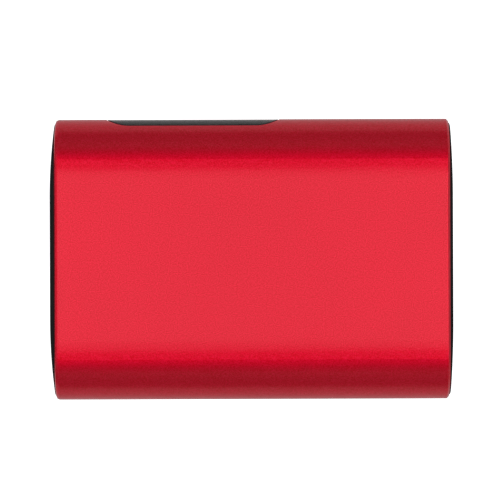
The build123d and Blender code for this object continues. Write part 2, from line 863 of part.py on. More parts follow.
save("outer_sleeve", outer_sleeve())
save("left_end_cap", left_end_cap())
save("right_end_cap", right_end_cap())
save("left_cap_seal", cap_seal(x_left + cap_recess_depth - cap_seal_thickness))
save("right_cap_seal", cap_seal(x_right - cap_recess_depth))
save("cap_screws", cap_screws())
save("window_lens", window_lens())
save("window_gasket", window_gasket())
save("oled_display", oled_display())
save("display_holder", display_holder())
save("display_tail", display_tail())
save("display_connector", display_connector())
save("chassis_tray", chassis_tray())
save("main_board", main_board())
save("board_screws", board_screws())
save("headphone_jack", headphone_jack())
save("usb_socket", usb_socket())
save("usb_tongue", usb_tongue())
save("card_socket", card_socket())
save("hold_knob", hold_knob())
save("hold_actuator", hold_actuator())
save("hold_switch", hold_switch())
save("light_pipe", light_pipe())
save("status_led", status_led())
for key_name, key_y, key_radius in key_places():
    save(key_name + "_key", key(key_name, key_y, key_radius))
    save(key_name + "_plunger", plunger(key_y))
save("key_switches", key_switches())
save("key_board", key_board())
save("key_connector", key_connector())
save("shield_can", shield_can())
save("insulating_sheet", insulating_sheet())
save("battery_pad", battery_pad())
save("battery_cell", battery_cell())
save("battery_plug", battery_plug())
save("battery_lead", battery_lead())
for chip_name, chip_place in {**shielded_chips, **open_chips}.items():
    save(chip_name, chip(*chip_place))
for chip_name, chip_place in hanging_chips.items():
    save(chip_name, chip(*chip_place, hanging=True))
save("audio_capacitors", audio_capacitors())
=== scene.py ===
# %% [markdown]
# # A pocket digital audio player
# The player is a red anodised aluminium tube, flattened and rounded, with a domed black cap in
# each end and a small smoked window in one long edge. The frame already holds every working
# part at its true size. This lesson gives each part its finish, adds the fine pieces that a
# maker prints, plates or presses in last, and lights the whole on a pale table.

import json
import math

import bmesh
import bpy
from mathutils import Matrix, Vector

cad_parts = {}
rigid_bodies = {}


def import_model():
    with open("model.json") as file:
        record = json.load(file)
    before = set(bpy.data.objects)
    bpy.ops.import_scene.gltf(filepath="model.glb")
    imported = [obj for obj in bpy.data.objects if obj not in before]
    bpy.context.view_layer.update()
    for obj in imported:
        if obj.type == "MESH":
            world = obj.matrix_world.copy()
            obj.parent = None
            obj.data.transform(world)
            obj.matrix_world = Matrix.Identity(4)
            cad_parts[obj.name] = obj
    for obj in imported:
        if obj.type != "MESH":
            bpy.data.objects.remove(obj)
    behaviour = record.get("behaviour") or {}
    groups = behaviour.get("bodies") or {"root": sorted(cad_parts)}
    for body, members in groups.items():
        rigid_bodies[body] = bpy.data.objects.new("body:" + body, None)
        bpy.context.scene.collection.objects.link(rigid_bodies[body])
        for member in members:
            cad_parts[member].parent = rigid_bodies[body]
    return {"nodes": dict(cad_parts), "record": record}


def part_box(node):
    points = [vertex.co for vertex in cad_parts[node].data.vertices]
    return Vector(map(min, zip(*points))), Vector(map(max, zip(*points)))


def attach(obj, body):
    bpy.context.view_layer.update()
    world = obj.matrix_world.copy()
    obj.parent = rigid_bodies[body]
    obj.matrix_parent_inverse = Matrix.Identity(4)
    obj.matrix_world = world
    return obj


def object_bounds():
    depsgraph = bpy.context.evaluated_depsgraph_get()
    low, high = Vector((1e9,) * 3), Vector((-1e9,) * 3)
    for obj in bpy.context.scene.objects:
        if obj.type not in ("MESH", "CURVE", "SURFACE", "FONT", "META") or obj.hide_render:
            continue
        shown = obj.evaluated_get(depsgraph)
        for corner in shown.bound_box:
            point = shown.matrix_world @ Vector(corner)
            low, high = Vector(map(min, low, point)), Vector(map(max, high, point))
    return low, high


for leftover in list(bpy.data.objects):
    bpy.data.objects.remove(leftover)
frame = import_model()
nodes = frame["nodes"]
cad_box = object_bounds()
low, high = cad_box
middle = (low + high) / 2
MM = 0.001
print("frame:", len(nodes), "parts,", [round(v / MM, 2) for v in high - low], "mm")

# %% [markdown]
# ## Small helpers for shader trees
# A shader tree is a drawing of boxes and wires. One helper places a box and fills its sockets,
# either with a plain value or with a wire from another box. A second one opens a node group
# with named sockets, so that an effect is built once and used in many materials.

# %% Place a node, open a group, start a material
def add(tree, kind, inputs=None, **settings):
    """Place a node. Settings come first, then each input: a value, or a socket to wire from."""
    node = tree.nodes.new(kind)
    for name, value in settings.items():
        setattr(node, name, value)
    for socket, value in (inputs or {}).items():
        if isinstance(value, bpy.types.NodeSocket):
            tree.links.new(value, node.inputs[socket])
        else:
            node.inputs[socket].default_value = value
    return node


def math_node(tree, operation, *values):
    return add(tree, "ShaderNodeMath", dict(enumerate(values)), operation=operation).outputs[0]


def ramp_between(tree, value, start, end):
    """Rise smoothly from 0 to 1 as a value goes from start to end, held outside them."""
    inputs = {"Value": value, "From Min": start, "From Max": end}
    return add(tree, "ShaderNodeMapRange", inputs, interpolation_type="SMOOTHSTEP").outputs[0]


def new_group(name, inputs, outputs):
    """A shader node group. Inputs are name: default, a number or a vector."""
    group = bpy.data.node_groups.new(name, "ShaderNodeTree")
    for socket, value in inputs.items():
        vector = isinstance(value, tuple)
        kind = "NodeSocketVector" if vector else "NodeSocketFloat"
        made = group.interface.new_socket(name=socket, in_out="INPUT", socket_type=kind)
        if not vector:
            made.default_value = value
    for socket in outputs:
        group.interface.new_socket(name=socket, in_out="OUTPUT", socket_type="NodeSocketFloat")
    return group, add(group, "NodeGroupInput").outputs, add(group, "NodeGroupOutput").inputs


def place_group(tree, group, inputs):
    return add(tree, "ShaderNodeGroup", inputs, node_tree=group).outputs


def new_material(name, base_color, **shader_values):
    """A material with its own Principled shader, and the object coordinates to build on."""
    material = bpy.data.materials.new(name)
    material.use_nodes = True
    tree = material.node_tree
    shader = tree.nodes["Principled BSDF"]
    shader.inputs["Base Color"].default_value = (*base_color, 1)
    for socket, value in shader_values.items():
        shader.inputs[socket.replace("_", " ")].default_value = value
    place = add(tree, "ShaderNodeTexCoord").outputs["Object"]
    return material, tree, shader, place

# %% [markdown]
# ## Effects shared by the finishes
# Blasted metal, moulded plastic and board varnish all owe their look to grain finer than a hair,
# so one grain group serves them all at different sizes. It could be a picture of real grain, but
# a solid noise needs no unwrapping and runs over rounded edges without a seam.

# %% Fine grain
grain_group, inside, outside = new_group(
    "Fine grain", {"Position": (0, 0, 0), "Size": 0.0002}, ["Height", "Speckle"])
scale = math_node(grain_group, "DIVIDE", 1.0, inside["Size"])
fine = add(grain_group, "ShaderNodeTexNoise",
           {"Vector": inside["Position"], "Scale": scale, "Detail": 2.0, "Roughness": 0.6})
pits = add(grain_group, "ShaderNodeTexVoronoi",
           {"Vector": inside["Position"], "Scale": scale}, feature="SMOOTH_F1")
both = math_node(grain_group, "ADD", fine.outputs[0], pits.outputs["Distance"])
grain_group.links.new(both, outside["Height"])
grain_group.links.new(ramp_between(grain_group, fine.outputs[0], 0.3, 0.7), outside["Speckle"])
print("group:", grain_group.name)

# %% [markdown]
# Hands leave faint clouds on any shell: a thin film that changes how sharply it shines, never its
# colour. Two sizes of soft noise, multiplied, give patches with ragged sides.

# %% Handling film
film_group, inside, outside = new_group(
    "Handling film", {"Position": (0, 0, 0), "Size": 0.02}, ["Mask"])
scale = math_node(film_group, "DIVIDE", 1.0, inside["Size"])
cloud = add(film_group, "ShaderNodeTexNoise",
            {"Vector": inside["Position"], "Scale": scale, "Detail": 3.0})
streak_scale = math_node(film_group, "MULTIPLY", scale, 6.0)
streak = add(film_group, "ShaderNodeTexNoise",
             {"Vector": inside["Position"], "Scale": streak_scale, "Distortion": 1.0})
film = math_node(film_group, "MULTIPLY", ramp_between(film_group, cloud.outputs[0], 0.4, 0.7),
                 ramp_between(film_group, streak.outputs[0], 0.3, 0.7))
film_group.links.new(film, outside["Mask"])
print("group:", film_group.name)

# %% [markdown]
# Rolled, drawn and turned metal keeps the direction it was worked in. Noise squeezed flat along
# one axis becomes long lines, which is cheaper than modelling scratches.

# %% Worked lines
lines_group, inside, outside = new_group(
    "Worked lines", {"Position": (0, 0, 0), "Spacing": 0.0001}, ["Height", "Tone"])
squeezed = add(lines_group, "ShaderNodeVectorMath",
               {0: inside["Position"], 1: (0.03, 1.0, 1.0)}, operation="MULTIPLY")
scale = math_node(lines_group, "DIVIDE", 1.0, inside["Spacing"])
lines = add(lines_group, "ShaderNodeTexNoise",
            {"Vector": squeezed.outputs[0], "Scale": scale, "Detail": 4.0})
lines_group.links.new(lines.outputs[0], outside["Height"])
lines_group.links.new(ramp_between(lines_group, lines.outputs[0], 0.35, 0.65), outside["Tone"])
print("group:", lines_group.name)

# %% [markdown]
# Edges that meet pockets and tables polish first. The ends of this player are such edges, so one
# group finds how near a point is to either end of a piece along X, and breaks that band up.

# %% End wear
wear_group, inside, outside = new_group(
    "End wear", {"Position": (0, 0, 0), "Middle": 0.0, "Half Length": 0.04, "Width": 0.001},
    ["Mask"])
along = add(wear_group, "ShaderNodeSeparateXYZ", {0: inside["Position"]}).outputs[0]
from_middle = math_node(wear_group, "ABSOLUTE",
                        math_node(wear_group, "SUBTRACT", along, inside["Middle"]))
to_end = math_node(wear_group, "SUBTRACT", inside["Half Length"], from_middle)
band = math_node(wear_group, "DIVIDE", to_end, inside["Width"])
chatter = add(wear_group, "ShaderNodeTexNoise",
              {"Vector": inside["Position"], "Scale": 900.0, "Detail": 3.0})
ragged = math_node(wear_group, "ADD", band, chatter.outputs[0])
wear_group.links.new(ramp_between(wear_group, ragged, 1.0, 0.45), outside["Mask"])
print("group:", wear_group.name)

# %% [markdown]
# Two finishes change at the window's outline, the cut rim of the sleeve and the ground rim of the
# lens. The outline is a slot with round ends, so one group measures how far a point lies outside
# it, and each finish picks its own band from that.

# %% Window outline
window_group, inside, outside = new_group(
    "Window outline", {"Position": (0, 0, 0), "Middle X": 0.0, "Middle Z": 0.0,
                       "Half Length": 0.017, "Radius": 0.0045}, ["Outside By"])
at = add(window_group, "ShaderNodeSeparateXYZ", {0: inside["Position"]}).outputs
along = math_node(window_group, "ABSOLUTE",
                  math_node(window_group, "SUBTRACT", at[0], inside["Middle X"]))
straight = math_node(window_group, "SUBTRACT", inside["Half Length"], inside["Radius"])
past = math_node(window_group, "MAXIMUM", 0.0,
                 math_node(window_group, "SUBTRACT", along, straight))
off = math_node(window_group, "SUBTRACT", at[2], inside["Middle Z"])
reach = math_node(window_group, "SQRT", math_node(
    window_group, "ADD", math_node(window_group, "MULTIPLY", past, past),
    math_node(window_group, "MULTIPLY", off, off)))
window_group.links.new(math_node(window_group, "SUBTRACT", reach, inside["Radius"]),
                       outside["Outside By"])
print("group:", window_group.name)

sleeve_low, sleeve_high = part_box("outer_sleeve")
lens_low, lens_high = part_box("window_lens")
lens_middle = (lens_low + lens_high) / 2
LENS_FLANGE = 1.2 * MM
window_outline = {
    "Middle X": lens_middle.x, "Middle Z": middle.z,
    "Half Length": (lens_high.x - lens_low.x) / 2 - LENS_FLANGE,
    "Radius": (lens_high.z - lens_low.z) / 2 - LENS_FLANGE}

# %% [markdown]
# ## The red sleeve
# The tube is extruded, cut, blasted with fine beads and then anodised red. Anodising leaves a
# clear hard skin, dyed right through, on bare metal. The metal under it shines red and broad, the
# dye in the skin scatters some light as a matt red would, and the skin's face adds a weaker,
# whiter and sharper shine. So the shader is mostly red metal, with a share of matt red, under a
# coat. The blasting is grain in the bump, the tint and the coat. The ends and the window's rim are
# cut after blasting, so they lose the bump and shine more sharply. One plain metal would be
# simpler, but light falls off less softly round its edges.

# %% Red anodised aluminium
METAL_SHARE = 0.7
BEAD = 0.22 * MM
MATT_ROUGHNESS = 0.43
CUT_ROUGHNESS = 0.26
FILM_ROUGHNESS = 0.05
EDGE_WEAR = 0.25
COAT_LOW = 0.5
CUT_BAND = 0.42 * MM
RIM_BAND = 0.3 * MM

red, tree, shader, place = new_material(
    "red_anodised_aluminium", (0.88, 0.002, 0.03), Metallic=METAL_SHARE,
    Specular_IOR_Level=0.0, Coat_Weight=1.0, Coat_Roughness=0.14, Coat_IOR=1.5)
at = add(tree, "ShaderNodeSeparateXYZ", {0: place}).outputs
from_middle = math_node(tree, "ABSOLUTE",
                        math_node(tree, "SUBTRACT", at[0], (sleeve_low.x + sleeve_high.x) / 2))
end_cut = math_node(tree, "GREATER_THAN", from_middle,
                    (sleeve_high.x - sleeve_low.x) / 2 - CUT_BAND)
outline = place_group(tree, window_group, {"Position": place, **window_outline})
near_window = math_node(tree, "LESS_THAN", outline["Outside By"], RIM_BAND)
on_window_side = math_node(tree, "GREATER_THAN", at[1], lens_low.y)
rim_cut = math_node(tree, "MULTIPLY", near_window, on_window_side)
cut = math_node(tree, "MAXIMUM", end_cut, rim_cut)

grain = place_group(tree, grain_group, {"Position": place, "Size": BEAD})
film = place_group(tree, film_group, {"Position": place, "Size": 0.018})
wear = place_group(tree, wear_group, {
    "Position": place, "Middle": (sleeve_low.x + sleeve_high.x) / 2,
    "Half Length": (sleeve_high.x - sleeve_low.x) / 2, "Width": 0.5 * MM})
tint = add(tree, "ShaderNodeMix", {0: grain["Speckle"], 6: (0.75, 0.0, 0.010, 1),
                                   7: (0.98, 0.006, 0.048, 1)}, data_type="RGBA")
worn_tint = add(tree, "ShaderNodeMix",
                {0: math_node(tree, "MULTIPLY", wear["Mask"], EDGE_WEAR), 6: tint.outputs[2],
                 7: (0.95, 0.20, 0.20, 1)}, data_type="RGBA")
tree.links.new(worn_tint.outputs[2], shader.inputs["Base Color"])
sparkle = math_node(tree, "ADD", COAT_LOW,
                    math_node(tree, "MULTIPLY", grain["Speckle"], 1.0 - COAT_LOW))
tree.links.new(sparkle, shader.inputs["Coat Weight"])
matt = math_node(tree, "ADD", MATT_ROUGHNESS,
                 math_node(tree, "MULTIPLY", film["Mask"], FILM_ROUGHNESS))
rough = add(tree, "ShaderNodeMix", {0: cut, 2: matt, 3: CUT_ROUGHNESS}).outputs[0]
tree.links.new(rough, shader.inputs["Roughness"])
blasted = math_node(tree, "MULTIPLY", grain["Height"], math_node(tree, "SUBTRACT", 1.0, cut))
bump = add(tree, "ShaderNodeBump", {"Strength": 0.22, "Distance": 0.00002, "Height": blasted})
tree.links.new(bump.outputs[0], shader.inputs["Normal"])
print("sleeve finish:", len(tree.nodes), "nodes")

# %% [markdown]
# ## Black plastics
# Caps, keys and the tray are moulded. A mould is spark-eroded to a fine even texture, which hides
# flow marks, so the pieces are satin with a slight grain. One function makes each of them with its
# own colour, grain size and shine.

# %% Moulded plastic
def moulded(name, color, roughness, grain_size, bump_strength=0.25, shine=0.5):
    material, tree, shader, place = new_material(name, color, Specular_IOR_Level=shine)
    grain = place_group(tree, grain_group, {"Position": place, "Size": grain_size})
    film = place_group(tree, film_group, {"Position": place, "Size": 0.012})
    light = tuple(min(1.0, channel * 1.35 + 0.002) for channel in color)
    tint = add(tree, "ShaderNodeMix",
               {0: grain["Speckle"], 6: (*color, 1), 7: (*light, 1)}, data_type="RGBA")
    tree.links.new(tint.outputs[2], shader.inputs["Base Color"])
    spread = math_node(tree, "MULTIPLY", film["Mask"], -0.12)
    tree.links.new(math_node(tree, "ADD", roughness, spread), shader.inputs["Roughness"])
    bump = add(tree, "ShaderNodeBump",
               {"Strength": bump_strength, "Distance": grain_size / 6, "Height": grain["Height"]})
    tree.links.new(bump.outputs[0], shader.inputs["Normal"])
    return material


finish = {"red_aluminium": red}
finish["black_cap"] = moulded("black_cap_plastic", (0.004, 0.0042, 0.0045), 0.58, 0.14 * MM,
                             shine=0.14)
finish["key_plastic"] = moulded("black_key_plastic", (0.020, 0.0205, 0.022), 0.30, 0.10 * MM)
finish["grey_plastic"] = moulded("grey_tray_plastic", (0.11, 0.11, 0.12), 0.5, 0.2 * MM)
finish["chip_black"] = moulded("chip_epoxy", (0.02, 0.02, 0.022), 0.6, 0.08 * MM)
finish["black_rubber"] = moulded("black_seal_rubber", (0.008, 0.008, 0.008), 0.75, 0.12 * MM)
finish["foam_white"] = moulded("white_foam", (0.72, 0.71, 0.68), 0.9, 0.3 * MM, 0.8)
finish["wire_red"] = moulded("red_wire_skin", (0.45, 0.02, 0.02), 0.4, 0.2 * MM)
print("moulded finishes:", len(finish) - 1)

# %% [markdown]
# ## Bare and plated metals
# Steel cans and sockets are pressed from rolled strip, so they keep fine lines. Plating fills the
# lines and adds its colour; black oxide is thin and lets them show. The function takes the colour,
# the shine and the spacing of the lines.

# %% Worked metal
def worked(name, color, roughness, spacing, dark=0.75):
    material, tree, shader, place = new_material(name, color, Metallic=1.0)
    lines = place_group(tree, lines_group, {"Position": place, "Spacing": spacing})
    film = place_group(tree, film_group, {"Position": place, "Size": 0.004})
    shade = tuple(channel * dark for channel in color)
    tint = add(tree, "ShaderNodeMix",
               {0: lines["Tone"], 6: (*shade, 1), 7: (*color, 1)}, data_type="RGBA")
    tree.links.new(tint.outputs[2], shader.inputs["Base Color"])
    spread = math_node(tree, "MULTIPLY", film["Mask"], 0.15)
    tree.links.new(math_node(tree, "ADD", roughness, spread), shader.inputs["Roughness"])
    bump = add(tree, "ShaderNodeBump",
               {"Strength": 0.15, "Distance": spacing / 8, "Height": lines["Height"]})
    tree.links.new(bump.outputs[0], shader.inputs["Normal"])
    return material


finish["steel"] = worked("rolled_steel", (0.62, 0.62, 0.64), 0.28, 0.10 * MM)
finish["black_steel"] = worked("black_oxide_steel", (0.11, 0.11, 0.118), 0.32, 0.06 * MM)
finish["contact_metal"] = worked("nickel_plate", (0.74, 0.70, 0.62), 0.16, 0.08 * MM)
finish["pouch_silver"] = worked("pouch_foil", (0.66, 0.66, 0.68), 0.3, 0.5 * MM)
gold = worked("gold_plate", (0.95, 0.66, 0.26), 0.18, 0.05 * MM)
print("metal finishes ready, with", gold.name)

# %% [markdown]
# ## Clear, glossy and varnished parts
# The lens is acrylic dyed the grey of smoke and polished, so it is a clear body with a dark tint:
# light passes twice and little comes back, but the surface still mirrors the room. Its rim is
# ground and blacked, which hides the adhesive and draws a black line round it. The display
# glass and the board varnish are opaque and glossy. The film group keeps them from looking new.

# %% Smoked lens, light pipe, display glass, board and flexible tail
def glossy(name, color, roughness, transmission=0.0, ior=1.5, film_strength=0.05):
    material, tree, shader, place = new_material(
        name, color, Transmission_Weight=transmission, IOR=ior)
    film = place_group(tree, film_group, {"Position": place, "Size": 0.009})
    haze = math_node(tree, "MULTIPLY", film["Mask"], film_strength)
    tree.links.new(math_node(tree, "ADD", roughness, haze), shader.inputs["Roughness"])
    return material, tree, shader, place


GROUND_RIM = 0.28 * MM

smoke, tree, shader, place = glossy("smoked_acrylic", (0.10, 0.105, 0.115), 0.06,
                                    transmission=1.0, ior=1.49)
depth = add(tree, "ShaderNodeTexNoise", {"Vector": place, "Scale": 120.0})
dye = add(tree, "ShaderNodeMix", {0: depth.outputs[0], 6: (0.085, 0.09, 0.10, 1),
                                  7: (0.12, 0.125, 0.135, 1)}, data_type="RGBA")
outline = place_group(tree, window_group, {"Position": place, **window_outline})
ground = math_node(tree, "GREATER_THAN", outline["Outside By"], -GROUND_RIM)
rim_color = add(tree, "ShaderNodeMix", {0: ground, 6: dye.outputs[2], 7: (0.002, 0.002, 0.002, 1)},
                data_type="RGBA")
tree.links.new(rim_color.outputs[2], shader.inputs["Base Color"])
polish = shader.inputs["Roughness"].links[0].from_socket
tree.links.new(add(tree, "ShaderNodeMix", {0: ground, 2: polish, 3: 0.6}).outputs[0],
               shader.inputs["Roughness"])
finish["smoked_lens"] = smoke
finish["clear_plastic"] = glossy("clear_light_pipe", (0.85, 0.88, 0.9), 0.12, 1.0, 1.49)[0]

glass, tree, shader, place = glossy("display_glass", (0.008, 0.009, 0.012), 0.05)
streaks = place_group(tree, lines_group, {"Position": place, "Spacing": 0.3 * MM})
edge_tint = add(tree, "ShaderNodeMix", {0: streaks["Tone"], 6: (0.006, 0.007, 0.011, 1),
                                        7: (0.011, 0.012, 0.016, 1)}, data_type="RGBA")
tree.links.new(edge_tint.outputs[2], shader.inputs["Base Color"])
finish["display_glass"] = glass

board, tree, shader, place = glossy("board_varnish", (0.01, 0.08, 0.05), 0.25)
weave = place_group(tree, grain_group, {"Position": place, "Size": 0.5 * MM})
varnish = add(tree, "ShaderNodeMix", {0: weave["Speckle"], 6: (0.006, 0.055, 0.035, 1),
                                      7: (0.015, 0.10, 0.06, 1)}, data_type="RGBA")
tree.links.new(varnish.outputs[2], shader.inputs["Base Color"])
finish["board_green"] = board

tail, tree, shader, place = glossy("amber_tail_film", (0.38, 0.15, 0.02), 0.22)
tracks = place_group(tree, lines_group, {"Position": place, "Spacing": 0.4 * MM})
amber = add(tree, "ShaderNodeMix", {0: tracks["Tone"], 6: (0.30, 0.11, 0.015, 1),
                                    7: (0.48, 0.22, 0.04, 1)}, data_type="RGBA")
tree.links.new(amber.outputs[2], shader.inputs["Base Color"])
finish["tail_amber"] = tail
print("finishes ready:", len(finish))

# %% [markdown]
# ## Give every part its finish
# The record names a material slot for each part, so the finishes are handed out by slot.

# %% Hand out the finishes
for part in frame["record"]["subparts"]:
    node = nodes[part["node"]]
    node.data.materials.clear()
    node.data.materials.append(finish[part["material_slot"]])

# %% [markdown]
# ## Printed, plated and pressed-in details
# What follows is too fine for the working model: paint in the cut signs, plated contacts, a
# printed mask. Nearly all are flat shapes with a little thickness and a soft edge, so one helper
# turns an outline into such a plate. Extruding a mesh face and bevelling its rim keeps the sides
# crisp, which a plain scaled block wouldn't.

# %% A plate from an outline
def plate(name, outline, origin, across, up, thickness, soft, material, body):
    """A thin plate: a flat outline, thickened away from its back, with its front rim softened.

    across and up are the directions of the outline's two axes; the front faces across x up.
    """
    front = across.cross(up)
    mesh = bmesh.new()
    rim = [mesh.verts.new(origin + across * u + up * v) for u, v in outline]
    back = mesh.faces.new(rim)
    grown = bmesh.ops.extrude_face_region(mesh, geom=[back])["geom"]
    moved = [item for item in grown if isinstance(item, bmesh.types.BMVert)]
    bmesh.ops.translate(mesh, verts=moved, vec=front * thickness)
    front_edges = [edge for edge in mesh.edges if all(v in moved for v in edge.verts)]
    bmesh.ops.bevel(mesh, geom=front_edges, offset=soft, segments=2, affect="EDGES",
                    clamp_overlap=True)
    bmesh.ops.recalc_face_normals(mesh, faces=mesh.faces)
    return finish_piece(name, mesh, material, body)


def finish_piece(name, mesh, material, body):
    """Turn a finished bmesh into a piece that rides on a body."""
    data = bpy.data.meshes.new(name)
    mesh.to_mesh(data)
    mesh.free()
    piece = bpy.data.objects.new(name, data)
    bpy.context.scene.collection.objects.link(piece)
    data.materials.append(material)
    data.shade_smooth()
    data.set_sharp_from_angle(angle=math.radians(35))
    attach(piece, body)
    return piece


def rectangle(width, height, u=0.0, v=0.0):
    return [(u - width / 2, v - height / 2), (u + width / 2, v - height / 2),
            (u + width / 2, v + height / 2), (u - width / 2, v + height / 2)]


X, Y, Z = Vector((1, 0, 0)), Vector((0, 1, 0)), Vector((0, 0, 1))

# %% [markdown]
# The sign on each key is engraved and then filled with white paint, which outlasts print because
# fingers can't reach it. The paint is a plate that lies in the engraving, a little below the key's
# dished face and a hair smaller than the cut all round. It rides on its key.

# %% White paint in the key signs
SIGN_SIZE = 0.9 * MM
SIGN_FLOOR = 0.27 * MM
PAINT = 0.12 * MM
PAINT_EDGE = 0.02 * MM

white_paint = moulded("white_sign_paint", (0.78, 0.78, 0.76), 0.5, 0.06 * MM, 0.3)


def arrow(u=0.0, way=1):
    """A triangle that points along the way given."""
    turns = [0, 2 * math.pi / 3, 4 * math.pi / 3]
    size = SIGN_SIZE - PAINT_EDGE
    return [(u + way * size * math.cos(a), way * size * math.sin(a)) for a in turns]


BAR = (SIGN_SIZE / 3 - PAINT_EDGE, SIGN_SIZE * 1.7 - PAINT_EDGE)
cross = [(BAR[1] / 2, -BAR[0] / 2), (BAR[1] / 2, BAR[0] / 2), (BAR[0] / 2, BAR[0] / 2),
         (BAR[0] / 2, BAR[1] / 2), (-BAR[0] / 2, BAR[1] / 2), (-BAR[0] / 2, BAR[0] / 2),
         (-BAR[1] / 2, BAR[0] / 2), (-BAR[1] / 2, -BAR[0] / 2), (-BAR[0] / 2, -BAR[0] / 2),
         (-BAR[0] / 2, -BAR[1] / 2), (BAR[0] / 2, -BAR[1] / 2), (BAR[0] / 2, -BAR[0] / 2)]
signs = {
    "volume_down": [rectangle(BAR[1], BAR[0])],
    "previous": [arrow(way=-1), rectangle(*BAR, u=-SIGN_SIZE * 1.3)],
    "play": [arrow(-SIGN_SIZE), rectangle(*BAR, u=SIGN_SIZE * 0.5),
             rectangle(*BAR, u=SIGN_SIZE * 1.1)],
    "next": [arrow(), rectangle(*BAR, u=SIGN_SIZE * 1.3)],
    "volume_up": [cross],
}
for body, shapes in signs.items():
    key_low, key_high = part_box(body + "_key")
    seat = Vector((key_high.x - SIGN_FLOOR, (key_low.y + key_high.y) / 2, middle.z))
    for index, shape in enumerate(shapes):
        plate(f"{body}_sign_{index}", shape, seat, Y, Z, PAINT, PAINT_EDGE, white_paint, body)
print("signs painted on", len(signs), "keys")

# %% [markdown]
# ## The hold switch's warning mark
# Sliding the hold knob uncovers a patch of orange paint, so that a locked player shows it. The
# patch is on the knob's flange, behind the cap, and slides with the knob.

# %% Orange hold mark
FLANGE = 0.6 * MM
knob_low, knob_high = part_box("hold_knob")
orange_paint = moulded("orange_mark_paint", (0.9, 0.22, 0.01), 0.45, 0.06 * MM, 0.3)
mark_seat = Vector((knob_high.x - FLANGE, knob_high.y - 1.0 * MM, (knob_low.z + knob_high.z) / 2))
plate("hold_mark", rectangle(1.8 * MM, 1.7 * MM), mark_seat, -Y, Z, 0.03 * MM, 0.01 * MM,
      orange_paint, "hold")
print("hold mark at", [round(v / MM, 2) for v in mark_seat], "mm")

# %% [markdown]
# ## Contacts in the sockets
# The USB tongue carries twelve gold contacts on each side, set half a millimetre apart, and the
# card socket has eight spring contacts on its floor. Each is a thin plated strip, so a loop lays
# them out on the parts that hold them.

# %% Gold contacts
CONTACT_PITCH = 0.5 * MM
CONTACT_COUNT = 12
tongue_low, tongue_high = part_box("usb_tongue")
tongue_middle = (tongue_low + tongue_high) / 2
for side, face in ((1, tongue_high.z), (-1, tongue_low.z)):
    for index in range(CONTACT_COUNT):
        v = (index - (CONTACT_COUNT - 1) / 2) * CONTACT_PITCH
        seat = Vector((tongue_low.x + 2.2 * MM, tongue_middle.y + v, face))
        name = f"usb_contact_{'top' if side > 0 else 'low'}_{index}"
        plate(name, rectangle(3.4 * MM, 0.26 * MM), seat, X, Y * side, 0.02 * MM, 0.006 * MM,
              gold, "housing")

CARD_CONTACTS = 8
socket_low, socket_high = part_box("card_socket")
for index in range(CARD_CONTACTS):
    v = (index - (CARD_CONTACTS - 1) / 2) * 1.1 * MM
    seat = Vector((socket_low.x + 3.0 * MM, (socket_low.y + socket_high.y) / 2 + v,
                   socket_low.z + 0.3 * MM))
    plate(f"card_contact_{index}", rectangle(4.0 * MM, 0.6 * MM), seat, X, Y, 0.12 * MM,
          0.04 * MM, gold, "housing")
print("contacts:", 2 * CONTACT_COUNT + CARD_CONTACTS)

# %% [markdown]
# ## The headphone jack's ring
# A turned and plated ring is pressed over the jack's mouth to guide the plug. A turned piece is a
# profile swept round its axis, so the ring is a short loop of points, each swept in one step.

# %% A turned piece
def turned(name, profile, centre, material, body, steps=72):
    """Sweep a closed profile of (distance along -X, radius) round an axis along X."""
    mesh = bmesh.new()
    loops = []
    for step in range(steps):
        a = 2 * math.pi * step / steps
        out = Y * math.cos(a) + Z * math.sin(a)
        loops.append([mesh.verts.new(centre - X * along + out * r) for along, r in profile])
    for step in range(steps):
        here, there = loops[step], loops[(step + 1) % steps]
        for index in range(len(profile)):
            after = (index + 1) % len(profile)
            mesh.faces.new([here[index], there[index], there[after], here[after]])
    bmesh.ops.recalc_face_normals(mesh, faces=mesh.faces)
    return finish_piece(name, mesh, material, body)


jack_low, jack_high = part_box("headphone_jack")
JACK_BORE = 1.8 * MM
JACK_RING = 2.55 * MM
mouth = Vector((jack_low.x, (jack_low.y + jack_high.y) / 2, middle.z))
LIP = 0.14 * MM
lip_points = 6
ring_profile = [(-0.3 * MM, JACK_BORE), (0.0, JACK_BORE)]
for step in range(lip_points + 1):
    a = math.pi * step / lip_points
    middle_radius = (JACK_BORE + JACK_RING) / 2
    half = (JACK_RING - JACK_BORE) / 2
    ring_profile.append((LIP * math.sin(a), middle_radius - half * math.cos(a)))
ring_profile.append((-0.02 * MM, JACK_RING - 0.02 * MM))
ring_profile.append((-0.3 * MM, JACK_BORE + 0.05 * MM))
turned("jack_mouth_ring", ring_profile, mouth, finish["contact_metal"], "housing")
print("jack ring at", [round(v / MM, 2) for v in mouth], "mm")

# %% [markdown]
# ## Behind the lens
# The back of the lens is printed black except for a clear field, so that only the display's live
# area shows. The live area is a separate film on the display glass, with a faint violet cast when
# it is off. The mask is a flat ring between two outlines, both rounded rectangles.

# %% Lens mask and live area
def rounded_outline(half_width, half_height, squareness, points=96):
    """A closed curve between an ellipse, at 2, and a rectangle, at a high squareness."""
    outline = []
    for step in range(points):
        a = 2 * math.pi * step / points
        u, v = math.cos(a), math.sin(a)
        outline.append((half_width * math.copysign(abs(u) ** (2 / squareness), u),
                        half_height * math.copysign(abs(v) ** (2 / squareness), v)))
    return outline


MASK_OUTER = (17.9 * MM, 5.2 * MM)
MASK_CLEAR = (11.9 * MM, 3.4 * MM)
MASK_THICKNESS = 0.03 * MM
MASK_LIFT = 0.04 * MM
LIVE_AREA = (22.4 * MM, 5.6 * MM)

